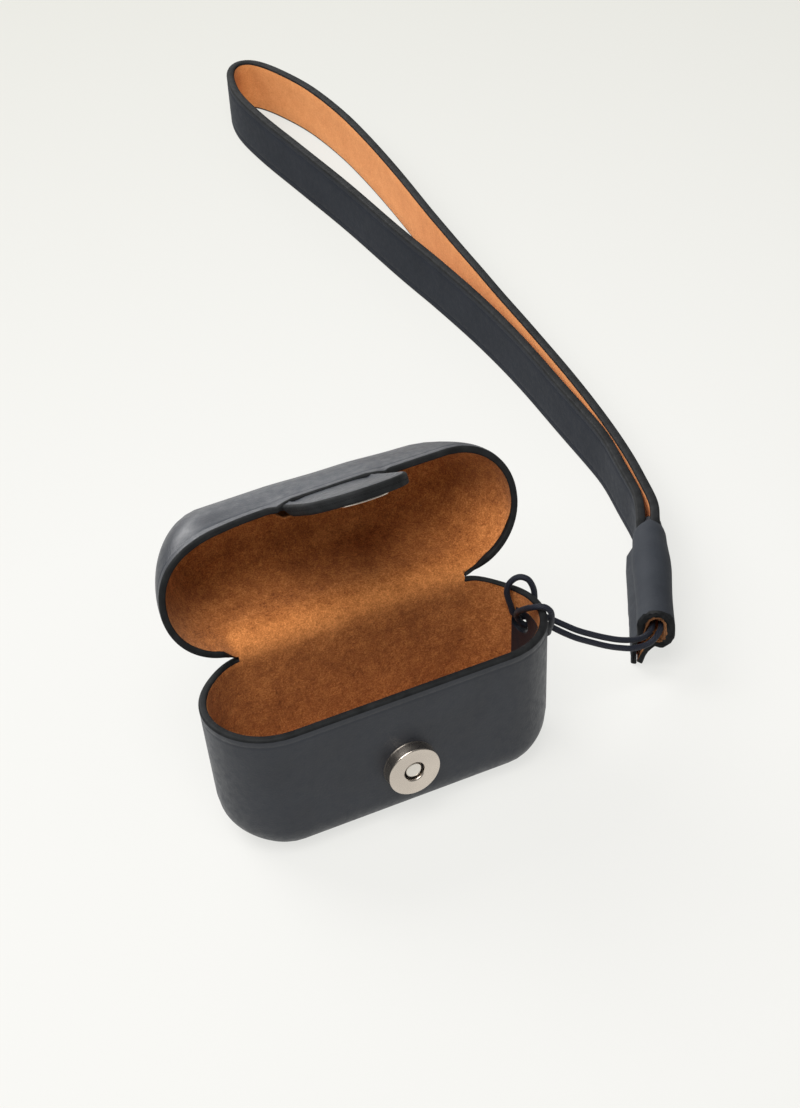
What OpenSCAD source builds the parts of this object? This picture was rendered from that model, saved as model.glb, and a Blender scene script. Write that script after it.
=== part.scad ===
// Moulded leather cover for a pocket earbud charging case, with a wrist strap.
// Millimetres. X runs along the width, the front faces -Y, Z is up, and the
// origin is the middle of the flat underside. The lid is drawn open.

/* [Base] */
// Width of the base at its rim
base_length = 69.6; // [60:0.1:80]
// Depth of the base at its rim, front to back
base_depth = 25.4; // [20:0.1:34]
// Height of the base from the flat underside to the rim
base_height = 29.3; // [20:0.1:40]
// How much the wall leans in from the rim to the underside
base_draft = 1.0; // [0.2:0.1:3]
// Radius of the rounded bottom edge
base_corner = 6.2; // [3:0.1:9]

/* [Lid] */
// Width of the lid at its rim
lid_length = 72.8; // [60:0.1:84]
// Depth of the lid at its rim
lid_depth = 26.2; // [20:0.1:36]
// Height of the lid from its rim to the crown
lid_height = 19.0; // [10:0.1:26]
// How far the crown is drawn in at each end
lid_end_inset = 10.0; // [4:0.1:12]
// How far the crown is drawn in at the front and the back
lid_side_inset = 6.4; // [3:0.1:9]
// Roundness of the dome, 1 is a straight taper and 2 is an ellipse
lid_round = 1.4; // [1:0.05:2.4]
// Angle that the lid stands open from closed
lid_open = 101.5; // [0:0.5:150]
// Gap left between the two rims when the lid is closed
rim_gap = 0.3; // [0.1:0.05:0.6]

/* [Leather] */
// Thickness of the moulded outer leather
leather = 1.4; // [1:0.1:2]
// Thickness of the suede lining
suede = 0.4; // [0.3:0.05:1]

/* [Hinge] */
// Length of the leather hinge along the back
hinge_length = 45.0; // [30:0.5:50]
// Height of the bend above the base rim
hinge_rise = 4.0; // [2:0.1:6]
// Radius of the bend on its outer, hollow side
hinge_bend = 1.0; // [0.5:0.1:3]
// How far the hinge leather reaches below the base rim
hinge_foot = 3.0; // [2:0.1:8]
// Height in the lid at which the hinge leather ends
hinge_head = 8.0; // [6:0.1:11]

/* [Closure tab] */
// Width of the tab
tab_width = 20.0; // [15:0.5:30]
// Length of the tab beyond the lid rim
tab_length = 23.5; // [15:0.5:28]
// Angle of the tab outward from the line of the lid wall
tab_lift = 24.0; // [0:0.5:40]

/* [Snap] */
// Diameter of the magnetic snap
snap_diameter = 10.5; // [8:0.1:14]
// Height of the snap's magnet half above the leather
snap_height = 2.6; // [1.8:0.1:3.5]
// Height of the snap centre above the underside
snap_level = 12.3; // [9:0.1:18]

/* [Wrist strap] */
// Width of the strap, which stands on its edge
strap_width = 14.0; // [8:0.5:18]
// Thickness of the strap's outer leather
strap_leather = 1.1; // [0.8:0.1:1.6]
// Thickness of the strap's inner leather
strap_inner = 0.9; // [0.6:0.1:1.4]
// Length of the rolled keeper
keeper_length = 34.0; // [20:0.5:45]

/* [Cord] */
// Diameter of the lanyard cord
cord_diameter = 1.2; // [0.8:0.1:2]
// Diameter of the hole that the cord goes through
cord_hole = 4.2; // [3:0.1:5]

/* [Hidden] */

navy = [0.11, 0.13, 0.17];
tan_suede = [0.72, 0.42, 0.22];
nickel = [0.75, 0.70, 0.64];
dark = [0.10, 0.10, 0.12];

wall = leather + suede;
end_r = base_depth / 2;
end_x = base_length / 2 - end_r;
alpha = atan(base_draft / base_height);
fillet_x = end_r - (base_height - base_corner) * tan(alpha) - base_corner / cos(alpha);

// pivot of the lid, on the outer skin of the back wall
piv_y = end_r - 0.15;
piv_z = base_height + hinge_rise;
lid_off = (base_depth - lid_depth) / 2;

// root of the tab, in the closed lid's frame: its outer face at the lid's rim
tab_y = lid_off - lid_depth / 2 + leather - 0.6;
tab_z = base_height + rim_gap;
tab_sheet = 1.3;
flange = 3.0;
lining_start = 7.0;
snap_drop = 17.5;

// keeper: middle of its mouth and the direction from the mouth to the strap
mouth = [61, 2.3];
keep_ang = 62.6;
keep_z = 9.6;
roll_r = 3.75;
roll_rise = 1.0;
keep_wall = 0.8;
keep_inner = 0.5;
tongue = 3.4;

// plan route of the strap, along the middle of its thickness
strap_route = [[65.6, 13.3], [68.6, 19.1], [71.5, 24.7], [75.0, 31.4], [78.0, 37.5], [79.8, 43],
    [81.4, 52], [83, 65], [84, 85], [85, 106], [85, 125], [84, 145], [82.5, 164], [81, 190],
    [79, 213], [77.2, 234], [77, 250], [79.4, 261], [83.2, 265.6], [87.4, 264], [91, 256],
    [94.6, 242], [96, 226], [96, 210], [95, 190], [93.2, 168], [91.8, 150], [91, 134],
    [90.2, 117], [89.4, 103], [88.4, 88], [87, 73], [85.2, 59], [83, 47], [80.2, 36.6],
    [76.9, 30.3], [73.4, 23.7], [70.5, 18.1], [67.5, 12.3]];

// route of the cord: keeper, up to the case, through the wall, over the rim and
// round its own two runs, back through the wall and down to the keeper again
cord_route = [[65.6, 12.8, 9.6], [63.4, 8.6, 9.6], [61, 3.9, 9.6], [58.2, 1.7, 9.8], [55.2, 1, 10.6],
    [52.3, 0.7, 11.9], [49.3, 0.7, 13.6], [46.2, 0.8, 15.6], [43.1, 1.1, 17.7],
    [40.5, 1.8, 19.7], [38.3, 2.8, 21.3], [36.7, 3.6, 22.3], [35.2, 4, 22.7],
    [33.7, 4.2, 22.8], [32.3, 4.3, 23.3], [31.1, 4.4, 24.6], [30.8, 4.6, 26.2],
    [30.5, 4.9, 27.8], [30.4, 5.2, 29.4], [30.9, 5.2, 31], [32, 4.9, 32.1], [33.2, 4.4, 32.4],
    [34.4, 3.7, 31.7], [35, 3.1, 30], [35.2, 3.1, 28], [35.4, 3.8, 25.8], [35.7, 5, 23.8],
    [36, 5.3, 21.7], [36.3, 4.2, 19.9], [36.5, 2.2, 19.1], [36.4, 0.6, 20.2], [36.1, -0.6, 22],
    [35.7, -2.3, 24.4], [35.3, -3.6, 26.9], [34.9, -4.2, 29], [34, -4, 30.3],
    [32.8, -3.4, 30.6], [31.6, -2.2, 30], [31, -0.2, 28.5], [30.9, 1.7, 26.7],
    [31.1, 2.9, 25.1], [31.6, 3, 23.5], [32.5, 2.8, 22.3], [33.7, 2.6, 22], [35.2, 2.6, 21.8],
    [36.7, 2.3, 21.1], [38.2, 1.7, 19.9], [40.2, 1.1, 18.2], [42.7, 0.7, 16.2],
    [45.6, 0.5, 14.2], [48.6, 0.2, 12.3], [51.6, 0, 10.7], [54.8, -0.2, 9.5], [58.6, 0.2, 9.1],
    [62.3, 2.7, 9.5], [65, 7.6, 9.6], [67.2, 11.9, 9.6]];

// ---- routes and tubes ----
function cr(a, b, c, d, t) = 0.5 * (2 * b + (c - a) * t + (2 * a - 5 * b + 4 * c - d) * t * t
    + (3 * b - a - 3 * c + d) * t * t * t);
function pick(p, i) = i < 0 ? 2 * p[0] - p[1] : i >= len(p) ? 2 * p[len(p) - 1] - p[len(p) - 2] : p[i];
function smooth_route(p, k) = concat([for (i = [0:len(p) - 2]) for (j = [0:k - 1])
    cr(pick(p, i - 1), pick(p, i), pick(p, i + 1), pick(p, i + 2), j / k)], [p[len(p) - 1]]);
function unit(v) = v / norm(v);
function tang(p, i) = unit(pick(p, i + 1) - pick(p, i - 1));
function left2(p, i) = let (t = tang(p, i)) [-t[1], t[0]];
function off2(p, d) = [for (i = [0:len(p) - 1]) p[i] + d * left2(p, i)];
function rev(p) = [for (i = [len(p) - 1:-1:0]) p[i]];
function band(p, d0, d1) = concat(off2(p, d0), rev(off2(p, d1)));

// frames carried along a 3D route without twist
function frames(p, i = 0, n = [0, 0, 1], acc = []) = i >= len(p) ? acc
    : let (t = tang(p, i), m = unit(n - (n * t) * t)) frames(p, i + 1, m, concat(acc, [[m, cross(t, m)]]));
function tube_pts(p, r, s) = let (f = frames(p, 0, [0.1, 0.2, 1], []))
    [for (i = [0:len(p) - 1]) for (j = [0:s - 1])
        p[i] + r * (cos(360 * j / s) * f[i][0] + sin(360 * j / s) * f[i][1])];
function tube_faces(n, s) = concat(
    [[for (j = [0:s - 1]) j]],
    [for (i = [0:n - 2]) for (j = [0:s - 1]) let (a = i * s + j, b = i * s + (j + 1) % s,
        c = (i + 1) * s + (j + 1) % s, d = (i + 1) * s + j) [a, d, b]],
    [for (i = [0:n - 2]) for (j = [0:s - 1]) let (b = i * s + (j + 1) % s,
        c = (i + 1) * s + (j + 1) % s, d = (i + 1) * s + j) [b, d, c]],
    [[for (j = [s - 1:-1:0]) (n - 1) * s + j]]);
module tube(p, r, s) polyhedron(tube_pts(p, r, s), tube_faces(len(p), s), convexity = 10);

// ---- base walls: one profile, turned at both ends and run along the middle ----
module base_profile(t, top) {
    rr = base_corner - t;
    tx = fillet_x + rr * cos(alpha);
    tz = base_corner - rr * sin(alpha);
    wx = end_r - t / cos(alpha);
    polygon([[0, t], [fillet_x, t], [fillet_x, base_corner], [tx, tz],
        [wx + (top - base_height) * tan(alpha), top], [0, top]]);
    translate([fillet_x, base_corner]) circle(r = rr, $fn = 72);
}
module half_profile(t, top) {
    intersection() {
        base_profile(t, top);
        translate([0, -1]) square([end_r * 2, base_height + 5]);
    }
}
module base_solid(t, top) {
    for (s = [0, 1]) mirror([s, 0, 0]) translate([end_x, 0, 0]) rotate([0, 0, -90])
        rotate_extrude(angle = 180, $fn = 96) half_profile(t, top);
    translate([-end_x, 0, 0]) rotate([90, 0, 90]) linear_extrude(2 * end_x)
        for (s = [0, 1]) mirror([s, 0]) half_profile(t, top);
}
module hinge_slot(y0, y1) {
    translate([-hinge_length / 2, y0, base_height - hinge_foot])
        cube([hinge_length, y1 - y0, hinge_foot + 2]);
}
module cord_bore() {
    translate([25, 3.4, 22.3]) rotate([0, 90, 0]) cylinder(d = cord_hole, h = 14, $fn = 48);
}
module patch_zone() translate([27, -8, 8]) cube([12, 16, base_height]);

// frame of the snap on the sloping front wall: +Z points out of the leather
snap_y = end_r - (base_height - snap_level) * tan(alpha);
module on_front() translate([0, -snap_y, snap_level]) rotate([90 + alpha, 0, 0]) children();

module base_shell() color(navy) difference() {
    base_solid(0, base_height);
    base_solid(leather, base_height + 2);
    hinge_slot(end_r - leather - 0.6, end_r + 2);
    cord_bore();
    // pocket for the washer and slots for the two prongs of the snap
    on_front() translate([0, 0, -leather - 1]) cylinder(d = 9.4, h = 1.8, $fn = 64);
    on_front() for (s = [-1, 1]) translate([s * 3 - 0.3, -1.2, -2]) cube([0.6, 2.4, 3]);
}
module base_lining() color(tan_suede) difference() {
    base_solid(leather, base_height - 0.25);
    base_solid(wall, base_height + 2);
    hinge_slot(end_r - wall - 0.6, end_r + 2);
    cord_bore();
    patch_zone();
}
module lanyard_patch() color(navy) difference() {
    intersection() {
        difference() {
            base_solid(leather, base_height - 0.25);
            base_solid(wall, base_height + 2);
        }
        translate([27.05, -7.95, 8.05]) cube([12, 15.9, base_height]);
    }
    cord_bore();
}

// ---- lid: rings from the rim to the crown ----
lid_steps = 9;
arc_steps = 20;
function lid_t(i) = 90 * i / lid_steps;
function lid_rise(i, h) = h * pow(sin(lid_t(i)), 2 / lid_round);
function lid_in(i, c) = i == lid_steps ? c : c * (1 - pow(cos(lid_t(i)), 2 / lid_round));
function lid_ring(l, d, z) = let (r = d / 2, a = l / 2 - r) concat(
    [for (k = [0:arc_steps]) let (w = -90 + 180 * k / arc_steps) [a + r * cos(w), r * sin(w) + lid_off, z]],
    [for (k = [0:arc_steps]) let (w = 90 + 180 * k / arc_steps) [-a + r * cos(w), r * sin(w) + lid_off, z]]);
ring_n = 2 * (arc_steps + 1);
module dome(t, z0) {
    rings = concat([lid_ring(lid_length - 2 * t, lid_depth - 2 * t, z0)],
        [for (i = [0:lid_steps]) lid_ring(lid_length - 2 * t - 2 * lid_in(i, lid_end_inset - t * 0.4),
            lid_depth - 2 * t - 2 * lid_in(i, lid_side_inset - t * 0.3),
            base_height + rim_gap + 0.001 + lid_rise(i, lid_height - t - 0.001))]);
    pts = [for (r = rings) for (q = r) q];
    n = len(rings);
    polyhedron(pts, concat([[for (j = [0:ring_n - 1]) j]],
        [for (i = [0:n - 2]) for (j = [0:ring_n - 1]) let (b = i * ring_n + (j + 1) % ring_n,
            d = (i + 1) * ring_n + j) [i * ring_n + j, d, b]],
        [for (i = [0:n - 2]) for (j = [0:ring_n - 1]) let (b = i * ring_n + (j + 1) % ring_n,
            c = (i + 1) * ring_n + (j + 1) % ring_n, d = (i + 1) * ring_n + j) [b, d, c]],
        [[for (j = [ring_n - 1:-1:0]) (n - 1) * ring_n + j]]), convexity = 8);
}
// carries a closed part to where the open lid holds it
module opened() translate([0, piv_y, piv_z]) rotate([-lid_open, 0, 0]) translate([0, -piv_y, -piv_z]) children();
module lid_hinge_cut() translate([-hinge_length / 2, end_r - 5, base_height - 1])
    cube([hinge_length, 8, hinge_head + 1]);
module tab_pocket() translate([-tab_width / 2 - 0.05, tab_y - 0.03, base_height - 1])
    cube([tab_width + 0.1, 2.4, 1 + rim_gap + flange + 0.05]);

module lid_shell() color(navy) opened() difference() {
    dome(0, base_height + rim_gap);
    dome(leather, base_height - 2);
    lid_hinge_cut();
    tab_pocket();
}
module lid_lining() color(tan_suede) opened() difference() {
    dome(leather + 0.02, base_height + rim_gap + 0.25);
    dome(wall, base_height - 2);
    lid_hinge_cut();
    tab_pocket();
}

// ---- hinge: a strip of leather and one of suede, bent round the back ----
// how far the lid's wall leans in at a height above the rim
function lid_lean(z) = let (t = asin(pow(z / lid_height, lid_round / 2)))
    lid_side_inset * (1 - pow(cos(t), 2 / lid_round));
function turn(p, w) = [p[0] * cos(w) - p[1] * sin(w), p[0] * sin(w) + p[1] * cos(w)];
// a point of the closed lid's back wall, carried to the open lid, in Y and Z
function lid_back(z) = [piv_y, piv_z] + turn([end_r - lid_lean(z) - piv_y,
    base_height + rim_gap + z - piv_z], -lid_open);
hinge_top = hinge_head - rim_gap;
h0 = [end_r, base_height];
h3 = lid_back(hinge_top);
h2 = h3 - 2.4 * unit(lid_back(hinge_top + 0.1) - lid_back(hinge_top - 0.1));
h1 = h0 + [0, 2.6];
function bez(t) = pow(1 - t, 3) * h0 + 3 * t * pow(1 - t, 2) * h1 + 3 * t * t * (1 - t) * h2 + pow(t, 3) * h3;
bend_path = concat([[end_r, base_height - hinge_foot + 0.05]], [for (i = [0:16]) bez(i / 16)]);
// strip from a to b inside the outer skin, in the Y, Z plane, run along the hinge
module bent(a, b) rotate([90, 0, 90]) linear_extrude(hinge_length - 0.1, center = true)
    polygon(band(bend_path, a, b));
module hinge_leather() color(navy) bent(0, leather);
module hinge_lining() color(tan_suede) bent(leather, wall);

// ---- closure tab, drawn hanging down from the closed lid, then lifted ----
module tab_lifted() opened() translate([0, tab_y, tab_z]) rotate([-tab_lift, 0, 0]) children();
// outline of the tab from a height down to its half round end
module tab_outline(g, top) {
    r = tab_width / 2 - g;
    translate([-r, -tab_length + tab_width / 2]) square([2 * r, tab_length - tab_width / 2 - top]);
    intersection() {
        translate([0, -tab_length + tab_width / 2]) circle(r = r, $fn = 96);
        translate([-r, -tab_length]) square([2 * r, tab_width / 2 + 0.01]);
    }
}
// upright slab of the tab between y0 and y1, outer face at -Y
module tab_slab(g, top, y0, y1) translate([0, y1, 0]) rotate([90, 0, 0]) linear_extrude(y1 - y0)
    tab_outline(g, top);
// frame of the snap under the tab: +Z points away from the tab's inner face
module under_tab() translate([0, 2 * tab_sheet, -snap_drop]) rotate([-90, 0, 0]) children();
module tab_outer() color(navy) union() {
    opened() translate([-tab_width / 2, tab_y, tab_z - 0.01]) cube([tab_width, tab_sheet, flange]);
    tab_lifted() difference() {
        tab_slab(0, -0.9, 0, tab_sheet);
        under_tab() translate([0, 0, -tab_sheet - 0.6]) cylinder(d = 8.4, h = 1.6, $fn = 64);
    }
}
module tab_lining() color(navy) tab_lifted() difference() {
    tab_slab(0, lining_start, tab_sheet + 0.01, 2 * tab_sheet);
    under_tab() for (s = [-1, 1]) translate([s * 2.8 - 0.35, -1.1, -3]) cube([0.7, 2.2, 6]);
}

// ---- snap on the base: cup with a hole, ring magnet, plate with prongs, washer ----
cup_bore = 4.4;
module snap_cap() color(nickel) on_front() difference() {
    translate([0, 0, 0.02]) cylinder(d = snap_diameter, h = snap_height, $fn = 96);
    translate([0, 0, -1]) cylinder(d = snap_diameter - 0.8, h = snap_height + 0.6, $fn = 96);
    cylinder(d = cup_bore, h = snap_height + 2, $fn = 64);
}
module snap_magnet() color(dark) on_front() translate([0, 0, 0.55]) difference() {
    cylinder(d = snap_diameter - 0.9, h = snap_height - 1.0, $fn = 96);
    translate([0, 0, -1]) cylinder(d = cup_bore + 0.1, h = snap_height + 2, $fn = 64);
}
module snap_plate() color(nickel) on_front() union() {
    translate([0, 0, 0.03]) cylinder(d = snap_diameter - 0.9, h = 0.5, $fn = 96);
    cylinder(d = cup_bore - 0.5, h = snap_height - 0.7, $fn = 64);
    for (s = [-1, 1]) {
        translate([s * 3 - 0.2, -1, -1.36]) cube([0.4, 2, 1.5]);
        translate([s * 3 - (s < 0 ? 0.2 : 1.4), -1, -1.36]) cube([1.6, 2, 0.3]);
    }
}
module snap_washer() color(nickel) on_front() difference() {
    translate([0, 0, -1.04]) cylinder(d = 9.0, h = 0.4, $fn = 64);
    for (s = [-1, 1]) translate([s * 3 - 0.3, -1.2, -2]) cube([0.6, 2.4, 3]);
}

// ---- snap on the tab: thin disc, post, legs and washer ----
module snap_disc() color(nickel) tab_lifted() under_tab() difference() {
    translate([0, 0, 0.34]) cylinder(d = snap_diameter, h = 0.7, $fn = 96);
    translate([0, 0, -1]) cylinder(d = 2.2, h = 3, $fn = 48);
}
module snap_post() color(nickel) tab_lifted() under_tab() union() {
    translate([0, 0, 0.34]) cylinder(d = 2.16, h = 0.8, $fn = 48);
    translate([0, 0, 1.06]) cylinder(d = 3.4, h = 0.5, $fn = 64);
}
module snap_legs() color(nickel) tab_lifted() under_tab() union() {
    translate([-3.0, -0.9, 0.02]) cube([6.0, 1.8, 0.3]);
    for (s = [-1, 1]) {
        translate([s * 2.8 - 0.2, -0.9, -1.85]) cube([0.4, 1.8, 2.0]);
        translate([s * 2.8 - (s < 0 ? 0.2 : 1.6), -0.9, -1.85]) cube([1.8, 1.8, 0.28]);
    }
}
module snap_tab_washer() color(nickel) tab_lifted() under_tab() difference() {
    translate([0, 0, -1.55]) cylinder(d = 8.0, h = 0.24, $fn = 64);
    for (s = [-1, 1]) translate([s * 2.8 - 0.3, -1.1, -3]) cube([0.6, 2.2, 6]);
}

// ---- wrist strap: two layers on edge, narrowed to a tongue inside the keeper ----
module at_keeper() translate([mouth[0], mouth[1], 0]) rotate([0, 0, keep_ang]) children();
module tongue_cuts() at_keeper() {
    translate([-5, -9, -1]) cube([keeper_length + 5.4, 18, keep_z - tongue / 2 + 1]);
    translate([-5, -9, keep_z + tongue / 2]) cube([keeper_length + 5.4, 18, 12]);
}
strap_path = smooth_route(strap_route, 3);
module strap_outer() color(navy) difference() {
    linear_extrude(strap_width) polygon(band(strap_path, 0.98, -0.09));
    tongue_cuts();
}
module strap_lining() color(tan_suede) difference() {
    linear_extrude(strap_width) polygon(band(strap_path, -0.1, -0.98));
    tongue_cuts();
}

// ---- keeper: leather rolled round the strap ends, with a glued fin ----
module roll(t) {
    for (s = [-1, 1]) translate([0, keep_z + s * roll_rise]) circle(r = roll_r - t, $fn = 72);
    translate([-roll_r + t, keep_z - roll_rise]) square([2 * (roll_r - t), 2 * roll_rise]);
}
// seen along the keeper from its mouth: fin down to the left, foot on the floor
module keeper_face(t) {
    roll(t);
    polygon([[-roll_r + t, keep_z - roll_rise], [-5.5 + t, t > 0 ? 0.3 : 0], [-2.7 - t, t > 0 ? 0.3 : 0],
        [-0.4 - t, 6.2], [0, keep_z]]);
}
module along_keeper(l0, l1) translate([mouth[0], mouth[1], 0]) rotate([90, 0, keep_ang - 90])
    translate([0, 0, -l1]) linear_extrude(l1 - l0) children();
module keeper_outer() color(navy) along_keeper(0, keeper_length) difference() {
    keeper_face(0);
    keeper_face(keep_wall);
}
module keeper_lining() color(tan_suede) along_keeper(0.05, keeper_length - 0.05) difference() {
    keeper_face(keep_wall + 0.02);
    roll(keep_wall + keep_inner);
}

// ---- cord ----
module cord() color(dark) tube(cord_route, cord_diameter / 2, 8);

base_shell();
base_lining();
lanyard_patch();
hinge_leather();
hinge_lining();
lid_shell();
lid_lining();
tab_outer();
tab_lining();
snap_cap();
snap_magnet();
snap_plate();
snap_washer();
snap_disc();
snap_post();
snap_legs();
snap_tab_washer();
strap_outer();
strap_lining();
keeper_outer();
keeper_lining();
cord();
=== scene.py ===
"""Moulded leather earbud case cover: looks, materials, lights and camera.

Lengths are written in millimetres and turned into metres when a mesh is made.
"""
import math

import bpy
from mathutils import Matrix, Vector


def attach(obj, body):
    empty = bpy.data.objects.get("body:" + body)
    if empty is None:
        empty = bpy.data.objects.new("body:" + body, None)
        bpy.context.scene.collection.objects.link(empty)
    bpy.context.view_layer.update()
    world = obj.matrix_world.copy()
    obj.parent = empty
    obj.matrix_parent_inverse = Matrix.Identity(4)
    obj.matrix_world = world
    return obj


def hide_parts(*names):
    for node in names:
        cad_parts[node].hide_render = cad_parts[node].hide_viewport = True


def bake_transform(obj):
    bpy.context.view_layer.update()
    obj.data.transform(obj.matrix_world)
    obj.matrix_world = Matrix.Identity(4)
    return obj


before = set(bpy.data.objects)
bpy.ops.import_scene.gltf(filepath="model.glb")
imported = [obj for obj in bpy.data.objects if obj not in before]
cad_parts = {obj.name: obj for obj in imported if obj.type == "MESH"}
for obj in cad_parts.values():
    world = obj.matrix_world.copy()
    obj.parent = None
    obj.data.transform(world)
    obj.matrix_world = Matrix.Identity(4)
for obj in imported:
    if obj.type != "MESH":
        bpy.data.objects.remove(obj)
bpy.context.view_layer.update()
MM = 0.001
sin, cos, pi = math.sin, math.cos, math.pi
rad = math.radians


# ---------------------------------------------------------------- camera
camera_data = bpy.data.cameras.new("camera")
camera_data.sensor_width = 36.0
camera_data.lens = 97.473
camera_data.clip_start = 0.02
camera_data.clip_end = 20.0
camera = bpy.data.objects.new("camera", camera_data)
camera.location = (-0.164066, -0.405883, 0.377288)
camera.rotation_euler = (rad(53.3534), rad(3.9158), rad(-25.7447))
bpy.context.scene.collection.objects.link(camera)
bpy.context.scene.camera = camera


# ---------------------------------------------------------------- mesh tools
def make(name, verts, faces, mats, face_mats=None, matrix=None, smooth=True, uv=None):
    """A mesh object from millimetre points."""
    mesh = bpy.data.meshes.new(name)
    if matrix is not None:
        verts = [matrix @ Vector(v) for v in verts]
    mesh.from_pydata([Vector(v) * MM for v in verts], [], faces)
    for m in mats:
        mesh.materials.append(m)
    if face_mats:
        mesh.polygons.foreach_set("material_index", face_mats)
    if uv:
        layer = mesh.uv_layers.new(name="along")
        for loop in mesh.loops:
            layer.data[loop.index].uv = uv[loop.vertex_index]
    mesh.polygons.foreach_set("use_smooth", [smooth] * len(mesh.polygons))
    mesh.validate()
    mesh.update()
    if smooth:
        mesh.set_sharp_from_angle(angle=rad(42))
    obj = bpy.data.objects.new(name, mesh)
    bpy.context.scene.collection.objects.link(obj)
    return obj


def rings_mesh(rings, closed=True, cap_start=True, cap_end=True):
    """Faces that join equal rings of points; returns points, faces and each face's ring."""
    n = len(rings[0])
    verts = [p for ring in rings for p in ring]
    faces, level = [], []
    for i in range(len(rings) - 1):
        for j in range(n if closed else n - 1):
            k = (j + 1) % n
            faces.append((i * n + j, i * n + k, (i + 1) * n + k, (i + 1) * n + j))
            level.append(i)
    if cap_start:
        faces.append(tuple(reversed(range(n))))
        level.append(0)
    if cap_end:
        faces.append(tuple((len(rings) - 1) * n + j for j in range(n)))
        level.append(len(rings) - 2)
    return verts, faces, level


def lerp(a, b, t):
    return a + (b - a) * t


def smooth01(t):
    t = min(max(t, 0.0), 1.0)
    return t * t * (3 - 2 * t)


def wobble(x, seed=0.0):
    """A small smooth irregular value from -1 to 1 along x in millimetres."""
    return (sin(x * 2.1 + seed) + sin(x * 0.83 + 1.7 * seed + 1.0) + sin(x * 4.7 + 2.3 * seed)) / 3.0


def catmull(points, k):
    out = []
    n = len(points)
    for i in range(n - 1):
        p1, p2 = Vector(points[i]), Vector(points[i + 1])
        p0 = Vector(points[i - 1]) if i else p1 * 2 - p2
        p3 = Vector(points[i + 2]) if i + 2 < n else p2 * 2 - p1
        for j in range(k):
            t = j / k
            out.append(0.5 * (2 * p1 + (p2 - p0) * t + (2 * p0 - 5 * p1 + 4 * p2 - p3) * t * t
                              + (3 * p1 - p0 - 3 * p2 + p3) * t * t * t))
    out.append(Vector(points[-1]))
    return out


def lathe(name, profile, mats, face_mat, matrix, steps=64, close=True):
    """Turn (radius, height) points about Z."""
    rings = []
    for r, h in profile:
        rings.append([(r * cos(2 * pi * j / steps), r * sin(2 * pi * j / steps), h) for j in range(steps)])
    if close:
        rings.append(rings[0])
    verts, faces, level = rings_mesh(rings, True, not close, not close)
    return make(name, verts, faces, mats, [face_mat[i] if i < len(face_mat) else 0 for i in level], matrix)


# ---------------------------------------------------------------- node tools
class Nodes:
    """A material's node tree, built with short calls."""

    def __init__(self, name):
        self.material = bpy.data.materials.new(name)
        self.material.use_nodes = True
        self.tree = self.material.node_tree
        self.tree.nodes.clear()
        self.out = self.node("ShaderNodeOutputMaterial")
        self.shader = self.node("ShaderNodeBsdfPrincipled")
        self.link(self.shader.outputs[0], self.out.inputs[0])

    def node(self, kind, **values):
        n = self.tree.nodes.new(kind)
        for key, value in values.items():
            setattr(n, key, value)
        return n

    def link(self, a, b):
        self.tree.links.new(a, b)

    def set(self, **values):
        for key, value in values.items():
            self.shader.inputs[key.replace("_", " ")].default_value = value

    def coords(self, kind="Object"):
        return self.node("ShaderNodeTexCoord").outputs[kind]

    def noise(self, scale, detail=2.0, rough=0.5, vector=None, distortion=0.0):
        n = self.node("ShaderNodeTexNoise")
        n.inputs["Scale"].default_value = scale
        n.inputs["Detail"].default_value = detail
        n.inputs["Roughness"].default_value = rough
        n.inputs["Distortion"].default_value = distortion
        self.link(vector if vector is not None else self.coords(), n.inputs["Vector"])
        return n.outputs["Fac"]

    def voronoi(self, scale, feature="F1", vector=None, randomness=1.0):
        n = self.node("ShaderNodeTexVoronoi")
        n.feature = feature
        n.inputs["Scale"].default_value = scale
        n.inputs["Randomness"].default_value = randomness
        self.link(vector if vector is not None else self.coords(), n.inputs["Vector"])
        return n.outputs["Distance"]

    def span(self, value, a, b, c=0.0, d=1.0):
        n = self.node("ShaderNodeMapRange")
        for key, v in zip(("From Min", "From Max", "To Min", "To Max"), (a, b, c, d)):
            n.inputs[key].default_value = v
        self.link(value, n.inputs["Value"])
        return n.outputs[0]

    def math(self, op, a, b=None):
        n = self.node("ShaderNodeMath")
        n.operation = op
        for i, v in enumerate((a, b)):
            if v is None:
                continue
            if isinstance(v, (int, float)):
                n.inputs[i].default_value = v
            else:
                self.link(v, n.inputs[i])
        return n.outputs[0]

    def ramp(self, value, stops):
        n = self.node("ShaderNodeValToRGB")
        while len(n.color_ramp.elements) > len(stops):
            n.color_ramp.elements.remove(n.color_ramp.elements[-1])
        while len(n.color_ramp.elements) < len(stops):
            n.color_ramp.elements.new(0.5)
        for e, (pos, colour) in zip(n.color_ramp.elements, stops):
            e.position = pos
            e.color = (*colour, 1.0)
        self.link(value, n.inputs[0])
        return n.outputs[0]

    def mix(self, fac, a, b, blend="MIX"):
        n = self.node("ShaderNodeMix")
        n.data_type = "RGBA"
        n.blend_type = blend
        for key, v in ((0, fac), (6, a), (7, b)):
            if isinstance(v, (int, float)):
                n.inputs[key].default_value = v
            elif isinstance(v, tuple):
                n.inputs[key].default_value = (*v, 1.0)
            else:
                self.link(v, n.inputs[key])
        return n.outputs[2]

    def bump(self, height, distance, strength=1.0, normal=None):
        n = self.node("ShaderNodeBump")
        n.inputs["Distance"].default_value = distance
        n.inputs["Strength"].default_value = strength
        self.link(height, n.inputs["Height"])
        if normal is not None:
            self.link(normal, n.inputs["Normal"])
        return n.outputs[0]

    def colour(self, socket):
        self.link(socket, self.shader.inputs["Base Color"])

    def rough(self, socket):
        self.link(socket, self.shader.inputs["Roughness"])

    def normal(self, socket):
        self.link(socket, self.shader.inputs["Normal"])


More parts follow.
